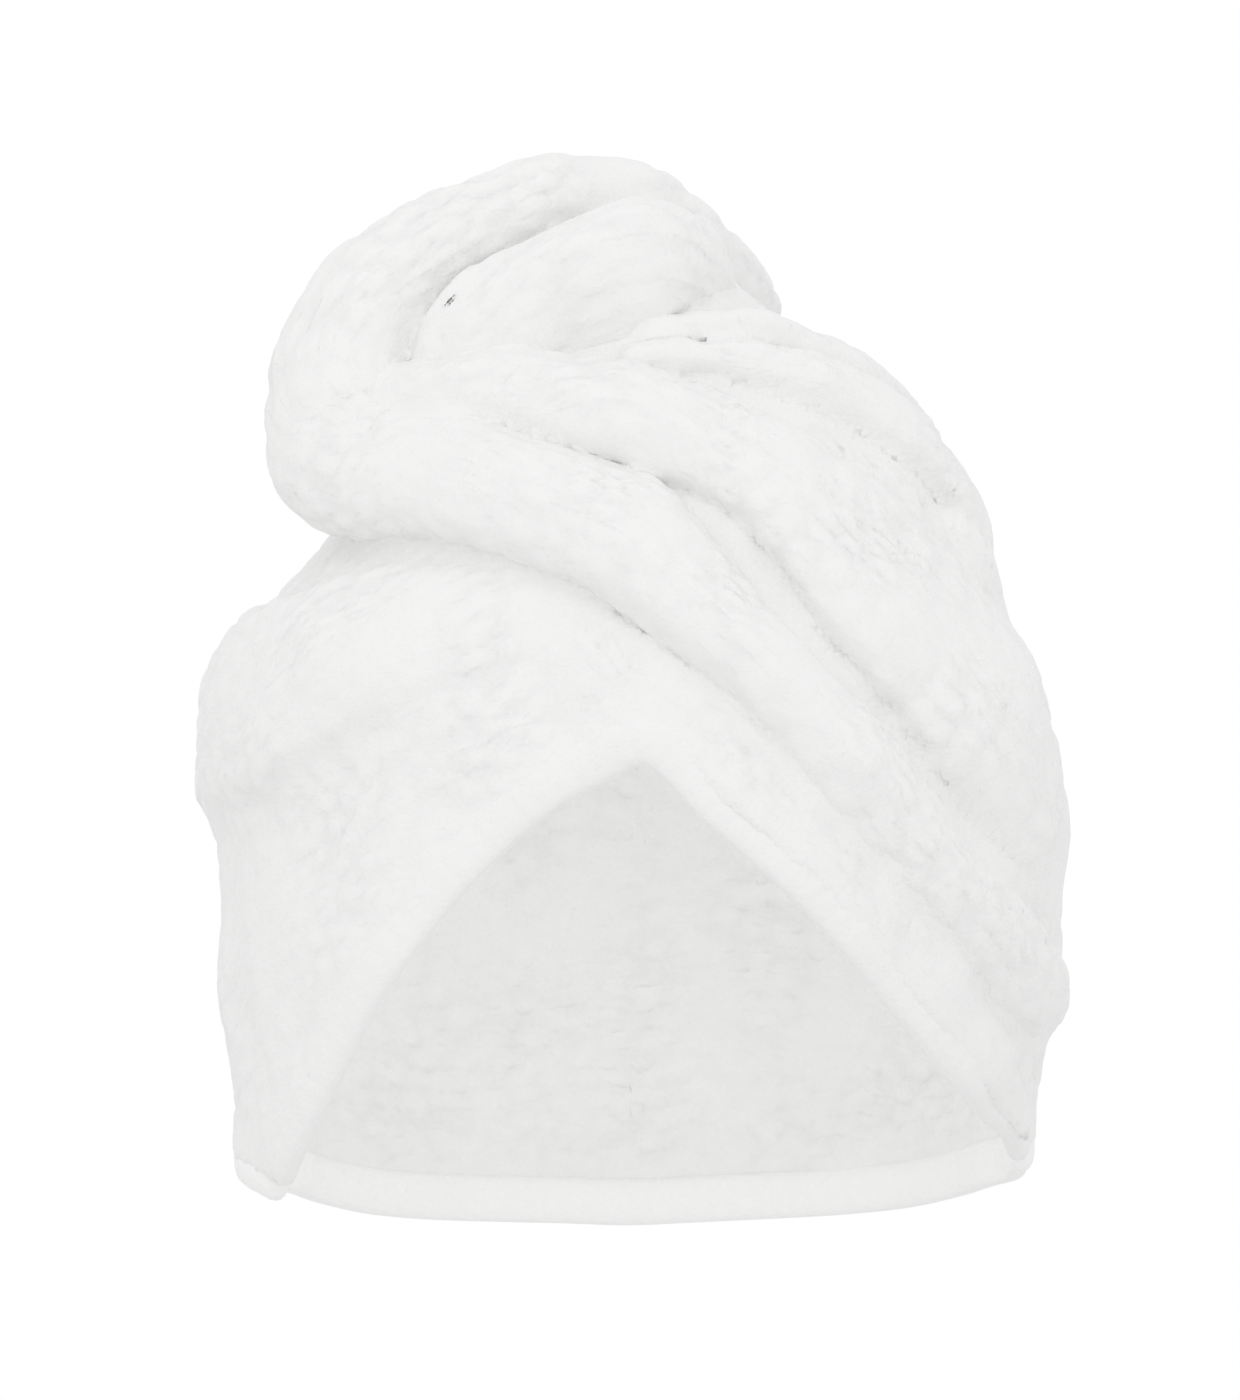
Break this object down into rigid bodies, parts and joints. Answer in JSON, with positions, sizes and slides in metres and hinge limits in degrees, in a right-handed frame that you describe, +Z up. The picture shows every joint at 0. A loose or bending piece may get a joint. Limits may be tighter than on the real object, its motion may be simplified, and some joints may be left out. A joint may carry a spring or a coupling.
{
  "type": "hair turban towel",
  "caption": "Waffle towelling head wrap in its worn form: a hood open at the face, its long tail wound over the crown and buttoned at the nape.",
  "frame": {"origin": "the highest point of the hollow, where the crown of a head touches the cloth", "axes": "+Z up along the head, -Y out of the face opening, +X to the right seen from in front of the face"},
  "size_m": [0.2189, 0.2308, 0.2691],
  "materials": {
    "towelling": "white waffle towelling",
    "hem": "white turned and rolled towelling",
    "button": "plain white, satin"
  },
  "bodies": {
    "root": {"hood": "towelling", "tail": "towelling", "face_hem": "hem", "nape_hem": "hem", "button": "button"}
  },
  "joints": []
}
